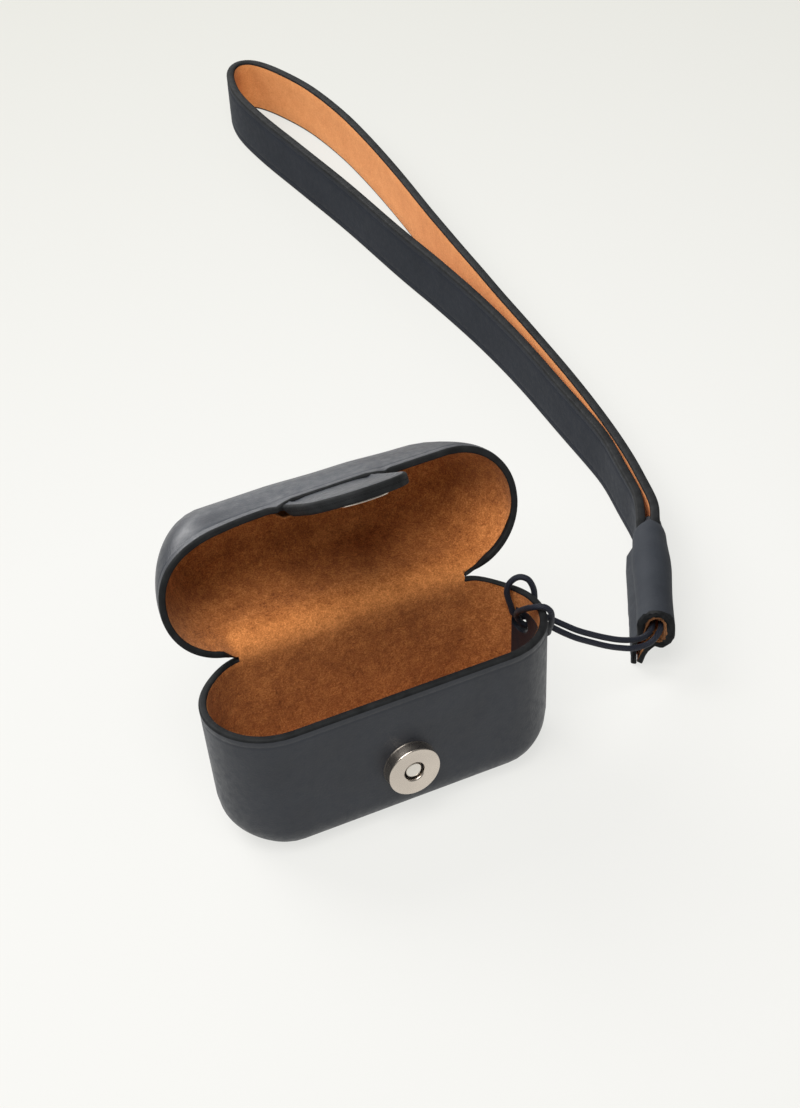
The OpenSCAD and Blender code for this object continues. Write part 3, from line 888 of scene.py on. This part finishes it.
def root_bend(z):
    """How far the tab's skin bends back at its root to run along the lid's wall."""
    return -math.tan(TAB_LIFT) * (z + math.sqrt(z * z + 3.0)) / 2 + 0.7 * smooth01(z / 1.6)


def tab_thickness(z):
    """The tab's full thickness, which thins towards its root."""
    return lerp(TAB_T, 1.1, smooth01((z + 5.0) / 4.5))


def tab_piece(name, layer):
    """The tab's outer layer, with its crease, or its inner layer."""
    rings, mats = [], []

    def add(d, y_of, mat=0):
        rings.append([(x, y_of(z) + root_bend(z), z) for x, z in tab_outline(d)])
        mats.append(mat)

    if layer == "outer":
        for d, y in ((9.95, -0.1), (8.0, -0.1), (5.0, -0.05), (3.4, 0.1), (2.7, 0.16), (2.3, 0.12),
                     (2.05, -0.02), (1.85, -0.12), (1.6, -0.14), (1.3, -0.06), (1.0, -0.02)):
            add(d, lambda z, y=y: y)
        for i in range(6):
            w = pi / 2 * i / 5
            add(0.6 - 0.6 * sin(w), lambda z, w=w: 0.6 - 0.6 * cos(w), 1)
        add(0.0, lambda z: tab_thickness(z) * 0.5, 1)
        add(0.05, lambda z: tab_thickness(z) * 0.5 + 0.02, 1)
        add(1.0, lambda z: tab_thickness(z) * 0.5 + 0.02)
        add(9.95, lambda z: tab_thickness(z) * 0.5 + 0.02)
    else:
        add(9.95, lambda z: tab_thickness(z) * 0.5 + 0.04)
        add(1.0, lambda z: tab_thickness(z) * 0.5 + 0.04)
        add(0.06, lambda z: tab_thickness(z) * 0.5 + 0.04, 1)
        add(0.01, lambda z: tab_thickness(z) * 0.5 + 0.06, 1)
        for i in range(6):
            w = pi / 2 * i / 5
            add(0.55 - 0.55 * cos(w),
                lambda z, w=w: tab_thickness(z) - 0.55 * min(1.0, tab_thickness(z) / 2.4)
                + 0.55 * min(1.0, tab_thickness(z) / 2.4) * sin(w), 1)
        for d in (1.0, 3.0, 6.0, 9.0, 9.95):
            add(d, lambda z: tab_thickness(z))
    verts, faces, level = rings_mesh(rings)
    painted = [1 if mats[i] == 1 and mats[i + 1] == 1 else 0 for i in level]
    return make(name, verts, faces, [NAVY, PAINT], painted, TAB)


tab_outer_piece = tab_piece("tab_leather", "outer")
tab_inner_piece = tab_piece("tab_backing", "inner")
for piece, node in ((tab_outer_piece, "tab_outer"), (tab_inner_piece, "tab_lining")):
    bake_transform(piece)
    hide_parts(node)


# ---------------------------------------------------------------- snap
SNAP_Z = 12.3
ON_FRONT = (Matrix.Translation(Vector((0.0, -(R_END - (H - SNAP_Z) * math.tan(ALPHA)), SNAP_Z)))
            @ Matrix.Rotation(pi / 2 + ALPHA, 4, "X"))


def rounded(points, k=4):
    """Round the corners of a (radius, height, corner radius) profile."""
    out = []
    n = len(points)
    for i, (r, h, c) in enumerate(points):
        p = Vector((r, h))
        a, b = Vector(points[i - 1][:2]), Vector(points[(i + 1) % n][:2])
        if c <= 0:
            out.append((r, h))
            continue
        u, v = (a - p).normalized() * c, (b - p).normalized() * c
        for j in range(k + 1):
            t = j / k
            q = (p + u) * (1 - t) ** 2 + 2 * p * t * (1 - t) + (p + v) * t * t
            out.append((q.x, q.y))
    return out


def snap_cup():
    """Domed cap of the snap's lower half, open below and with a hole in its middle."""
    profile = rounded([(2.05, 1.6, 0), (2.05, 2.3, 0.1), (2.3, 2.5, 0.12), (5.25, 2.55, 0.3),
                       (5.25, 0.25, 0.1), (5.3, 0.1, 0), (5.3, -0.02, 0), (4.9, -0.02, 0), (4.9, 2.1, 0.1),
                       (2.4, 2.1, 0), (2.4, 1.6, 0)])
    return lathe("snap_cup", profile, [NICKEL], [0] * len(profile), ON_FRONT, 96)


def snap_floor():
    """Plate under the magnet, with the boss that shows in the hole."""
    profile = rounded([(0.02, 0.05, 0), (4.8, 0.05, 0), (4.8, 0.5, 0.1), (1.6, 0.52, 0), (1.6, 1.98, 0.2),
                       (1.3, 2.05, 0.1), (0.02, 2.05, 0)])
    return lathe("snap_floor", profile, [NICKEL_BRIGHT], [0] * len(profile), ON_FRONT, 64)


UNDER_TAB = (TAB @ Matrix.Translation(Vector((0, TAB_T - 0.03, -BUTTON_DROP)))
             @ Matrix.Rotation(-pi / 2, 4, "X"))


def snap_button():
    profile = rounded([(1.1, 0.02, 0), (1.1, 0.42, 0), (1.9, 0.46, 0.1), (3.9, 0.42, 0.3),
                       (BUTTON_R, 0.34, 0.12), (BUTTON_R, 0.02, 0.05)])
    return lathe("snap_button", profile, [NICKEL], [0] * len(profile), UNDER_TAB, 96)


def snap_stem():
    profile = rounded([(0.02, 0.2, 0), (1.05, 0.2, 0), (1.05, 0.46, 0), (1.3, 0.48, 0.05), (1.3, 0.6, 0.08),
                       (1.1, 0.64, 0.05), (0.02, 0.64, 0)])
    return lathe("snap_stem", profile, [NICKEL], [0] * len(profile), UNDER_TAB, 48)


for piece, node, body in ((snap_cup(), "snap_cap", "base"), (snap_floor(), "snap_plate", "base"),
                          (snap_button(), "snap_disc", "tab"), (snap_stem(), "snap_post", "tab")):
    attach(piece, body)
    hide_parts(node)
for node, material in (("snap_washer", STEEL), ("snap_legs", STEEL),
                       ("snap_tab_washer", STEEL), ("snap_magnet", MAGNET)):
    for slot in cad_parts[node].material_slots:
        slot.material = material


# ---------------------------------------------------------------- wrist strap
STRAP_ROUTE = [
    (65.6, 13.3), (68.6, 19.1), (71.5, 24.7), (75.0, 31.4), (78.0, 37.5), (79.8, 43),
    (81.4, 52), (83, 65), (84, 85), (85, 106), (85, 125), (84, 145), (82.5, 164), (81, 190),
    (79, 213), (77.2, 234), (77, 250), (79.4, 261), (83.2, 265.6), (87.4, 264), (91, 256),
    (94.6, 242), (96, 226), (96, 210), (95, 190), (93.2, 168), (91.8, 150), (91, 134),
    (90.2, 117), (89.4, 103), (88.4, 88), (87, 73), (85.2, 59), (83, 47), (80.2, 36.6),
    (76.9, 30.3), (73.4, 23.7), (70.5, 18.1), (67.5, 12.3)]
MOUTH = Vector((61.0, 2.3, 0.0))
KEEP_ANG = rad(62.6)
KEEP_LEN = 34.0
KEEP_Z = 9.6
ALONG = Vector((cos(KEEP_ANG), sin(KEEP_ANG), 0.0))
ACROSS = Vector((sin(KEEP_ANG), -cos(KEEP_ANG), 0.0))


def strap_layers():
    """The strap's navy and tan layers, swept along its route and drawn in at the keeper."""
    path = catmull([(x, y, 0.0) for x, y in STRAP_ROUTE], 6)
    n = len(path)
    for i, p in enumerate(path):
        if i < n * 0.52:
            p.x -= 0.9 * smooth01((p.y - 16.0) / 10.0) * (1 - smooth01((p.y - 46.0) / 20.0))
        else:
            p.x -= 0.8 * smooth01((p.y - 26.0) / 20.0) * (1 - smooth01((p.y - 120.0) / 40.0))
            p.x -= 0.6 * smooth01((p.y - 130.0) / 40.0) * (1 - smooth01((p.y - 235.0) / 25.0))
        p.y -= 2.2 * smooth01((p.y - 215.0) / 45.0)
    navy, tan = [], []
    half = 7.0
    for i, p in enumerate(path):
        t = (path[min(i + 1, n - 1)] - path[max(i - 1, 0)]).normalized()
        left = Vector((-t.y, t.x, 0.0))
        s = (p - MOUTH).dot(ALONG)
        inside = smooth01((KEEP_LEN - 1.0 - s) / 5.0)
        low = lerp(0.02, KEEP_Z - 1.7, smooth01((KEEP_LEN - 4.2 - s) / 4.5))
        high = lerp(13.6, KEEP_Z + 1.7, inside)
        mid, h = (low + high) / 2, (high - low) / 2

        def place(section):
            return [p + left * o + Vector((0, 0, mid + z * h)) for z, o in section]

        e = 0.55 / half
        out = [(-0.70, 0.98), (-0.715, 0.93), (-0.735, 0.9), (-0.755, 0.93), (-0.78, 0.99),
               (-1 + 1.3 * e, 1.0)]
        arc = [(-1 + e - e * sin(w), 0.5 + 0.5 * cos(w)) for w in [pi / 2 * k / 4 for k in range(5)]]
        lip = [(-1.0, 0.0), (-1.0, -0.45), (-1 + e * 0.3, -0.82), (-1 + e, -0.99), (-1 + e * 1.25, -0.9)]
        low_edge = out + arc + lip
        high_edge = [(-z, o) for z, o in reversed(low_edge)]
        face = [(z, 1.02) for z in (0.55, 0.3, 0.0, -0.3, -0.55)]
        inner = [(z, -0.1) for z in (-0.85, 0.0, 0.85)]
        # the section runs once round the navy layer, with the outer face last
        navy.append(place(low_edge + inner + high_edge + face))
        tan_sec = [(-0.92, -0.12), (0.0, -0.12), (0.92, -0.12), (0.93, -0.9), (0.9, -0.97), (0.5, -1.0),
                   (0.0, -1.0), (-0.5, -1.0), (-0.9, -0.97), (-0.93, -0.9)]
        tan.append(place(tan_sec))
    m = len(navy[0])
    verts, faces, _ = rings_mesh(navy)
    paint = set(range(5, 15)) | set(range(15 + 3 + 1, 15 + 3 + 11))
    mats = [1 if (f % m) in paint else 0 for f in range((n - 1) * m)] + [0, 0]
    strap = make("strap_navy", verts, faces, [NAVY_STRAP, PAINT], mats)
    verts, faces, _ = rings_mesh(tan)
    lining = make("strap_tan_face", verts, faces, [TAN])
    return strap, lining


strap_piece, strap_lining_piece = strap_layers()
for piece, node, slot in ((strap_piece, "strap_outer", "leather_navy"),
                          (strap_lining_piece, "strap_lining", "suede_tan")):
    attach(piece, "strap")
    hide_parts(node)


# ---------------------------------------------------------------- keeper
def keeper_outline(s):
    """Section across the keeper at s along it, from the fin's left foot up and over to its right foot."""
    f = s / KEEP_LEN
    r = 3.72 + 0.14 * sin(f * 8.0 + 2.6) + 0.12 * sin(pi * f) - 0.3 * smooth01((f - 0.6) / 0.2)
    r -= 1.1 * smooth01((f - 0.86) / 0.14)
    lean = 0.45 * smooth01((f - 0.86) / 0.14) - 0.2 * smooth01((f - 0.5) / 0.2)
    rise = 1.0
    fin = smooth01((0.88 - f) / 0.02)
    foot = -5.1 + 0.10 * wobble(s * 0.7, 3.0)
    ground = lerp(KEEP_Z - 4.2, 0.02, fin)
    left, right = lerp(-r * 0.55, foot, fin), lerp(-r * 0.2, foot + 2.3, fin)
    pts = [(left, ground), (left + 0.04, lerp(KEEP_Z - 3.9, 3.4, fin)), (lerp(-r * 0.8, left + 0.3, fin),
                                                                      lerp(KEEP_Z - 3.0, 6.6, fin)),
           (-r * 0.985, KEEP_Z - 1.2)]
    for k in range(0, 19):
        w = pi - pi * k / 18
        pts.append((r * cos(w), KEEP_Z + rise + r * sin(w)))
    pts.append((r, KEEP_Z - rise * 0.4))
    for k in range(1, 9):
        w = -pi / 2 * k / 9
        pts.append((r * cos(w), KEEP_Z - rise + r * sin(w)))
    pts += [(lerp(0.0, -0.3, fin), lerp(KEEP_Z - rise - r, 5.6, fin)),
            (lerp(-0.1, -1.5, fin), lerp(KEEP_Z - rise - r, 4.3, fin)),
            (lerp(-0.15, -2.2, fin), lerp(KEEP_Z - rise - r, 2.6, fin)), (right, ground)]
    return [(x + lean * smooth01(z / 6.0), z) for x, z in pts]


def inward(pts, d):
    """Offset of an open outline towards its right-hand side."""
    out = []
    n = len(pts)
    for i, p in enumerate(pts):
        a, b = pts[max(i - 1, 0)], pts[min(i + 1, n - 1)]
        t = Vector((b[0] - a[0], b[1] - a[1])).normalized()
        k = min(i, n - 1 - i)
        scale = min(1.0, 1.1 / max(d, 0.01)) if k < 4 else 1.0
        out.append((p[0] + t.y * d * scale, p[1] - t.x * d * scale))
    return out


def keeper_skin(name, d0, d1, mat, end_mat, s0, s1, thicken=0.0, steps=40):
    """One layer of the keeper; thicken grows it at the mouth, and below 0 also moves it inwards."""
    rings = []
    for i in range(steps + 1):
        s = lerp(s0, s1, (i / steps) ** 1.25)
        shell = keeper_outline(s)
        extra = abs(thicken) * (1 - smooth01((s - 0.4) / 5.0))
        if thicken < 0:
            a, b = inward(shell, d0 + extra), inward(shell, d1 + 1.9 * extra)
        else:
            a, b = inward(shell, d0), inward(shell, d1 + extra)
        edge = 0.22 * (1 - smooth01(s / 0.35))
        loop = [(lerp(p[0], q[0], edge), lerp(p[1], q[1], edge)) for p, q in zip(a, b)]
        loop += list(reversed([(lerp(q[0], p[0], edge), lerp(q[1], p[1], edge)) for p, q in zip(a, b)]))
        ring = []
        for k, (x, z) in enumerate(loop):
            rag = 0.16 * sin(x * 5.1 + z * 3.3) + 0.1 * sin(x * 11.0 - z * 7.7)
            rag += 1.8 * (1 - smooth01(z / 4.5)) * (1 - smooth01(s / 8.0))
            ring.append(MOUTH + ALONG * (s + rag * (1 - smooth01(s / 5.0))) + ACROSS * x
                        + Vector((0, 0, max(z, 0.02))))
        rings.append(ring)
    verts, faces, level = rings_mesh(rings)
    m = len(rings[0])
    mats = [1 if k < m else 0 for k in range(len(faces) - 2)] + [1, 1]
    return make(name, verts, faces, [mat, end_mat], mats)


keeper_piece = keeper_skin("keeper_navy", 0.0, 0.85, NAVY_KEEPER, PAINT, 0.0, KEEP_LEN, 0.9)
keeper_lining_piece = keeper_skin("keeper_tan", 0.87, 1.3, TAN, TAN_EDGE, 0.35, KEEP_LEN - 0.3, -0.5)
for piece, node, slot in ((keeper_piece, "keeper_outer", "leather_navy"),
                          (keeper_lining_piece, "keeper_lining", "suede_tan")):
    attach(piece, "strap")
    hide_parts(node)


# ---------------------------------------------------------------- floor, light, world
FLOOR_GLOW = 0.72


def plain_floor():
    """Pale floor that also glows a little, more near the object than far from it."""
    m = Nodes("floor")
    m.colour(m.ramp(m.noise(3, 2, 0.5), [(0.0, (0.118, 0.117, 0.114)), (1.0, (0.124, 0.123, 0.120))]))
    m.set(Roughness=0.9, Specular_IOR_Level=0.05, Emission_Strength=FLOOR_GLOW)
    middle = m.node("ShaderNodeTexGradient", gradient_type="SPHERICAL")
    m.link(m.coords(), middle.inputs["Vector"])
    glow = m.ramp(middle.outputs["Fac"], [(0.62, (0.81, 0.81, 0.75)), (0.90, (0.985, 0.985, 0.955))])
    m.link(glow, m.shader.inputs["Emission Color"])
    mesh = bpy.data.meshes.new("floor")
    mesh.from_pydata([(-3, -3, 0), (3, -3, 0), (3, 3, 0), (-3, 3, 0)], [], [(0, 1, 2, 3)])
    mesh.materials.append(m.material)
    floor = bpy.data.objects.new("floor", mesh)
    bpy.context.scene.collection.objects.link(floor)


def area_light(name, location, target, size, energy, colour=(1, 1, 1)):
    data = bpy.data.lights.new(name, "AREA")
    data.shape = "DISK"
    data.size = size
    data.energy = energy
    data.color = colour
    obj = bpy.data.objects.new(name, data)
    obj.location = location
    direction = Vector(target) - Vector(location)
    obj.rotation_euler = direction.to_track_quat("-Z", "Y").to_euler()
    bpy.context.scene.collection.objects.link(obj)


plain_floor()
world = bpy.data.worlds.new("world")
world.use_nodes = True
world.node_tree.nodes["Background"].inputs[0].default_value = (1.0, 0.995, 0.985, 1.0)
world.node_tree.nodes["Background"].inputs[1].default_value = 0.2
bpy.context.scene.world = world
area_light("key", (-0.32, -0.28, 1.0), (0.01, 0.03, 0.02), 0.9, 16.0, (1.0, 0.99, 0.97))
area_light("back", (-0.40, 0.95, 0.80), (0.01, 0.05, 0.02), 0.8, 16.0, (1.0, 0.995, 0.985))
area_light("low_back", (0.20, 1.10, 0.42), (0.01, 0.05, 0.04), 0.7, 3.3, (1.0, 0.995, 0.985))
bpy.context.scene.view_settings.view_transform = "Standard"
bpy.context.scene.view_settings.look = "None"
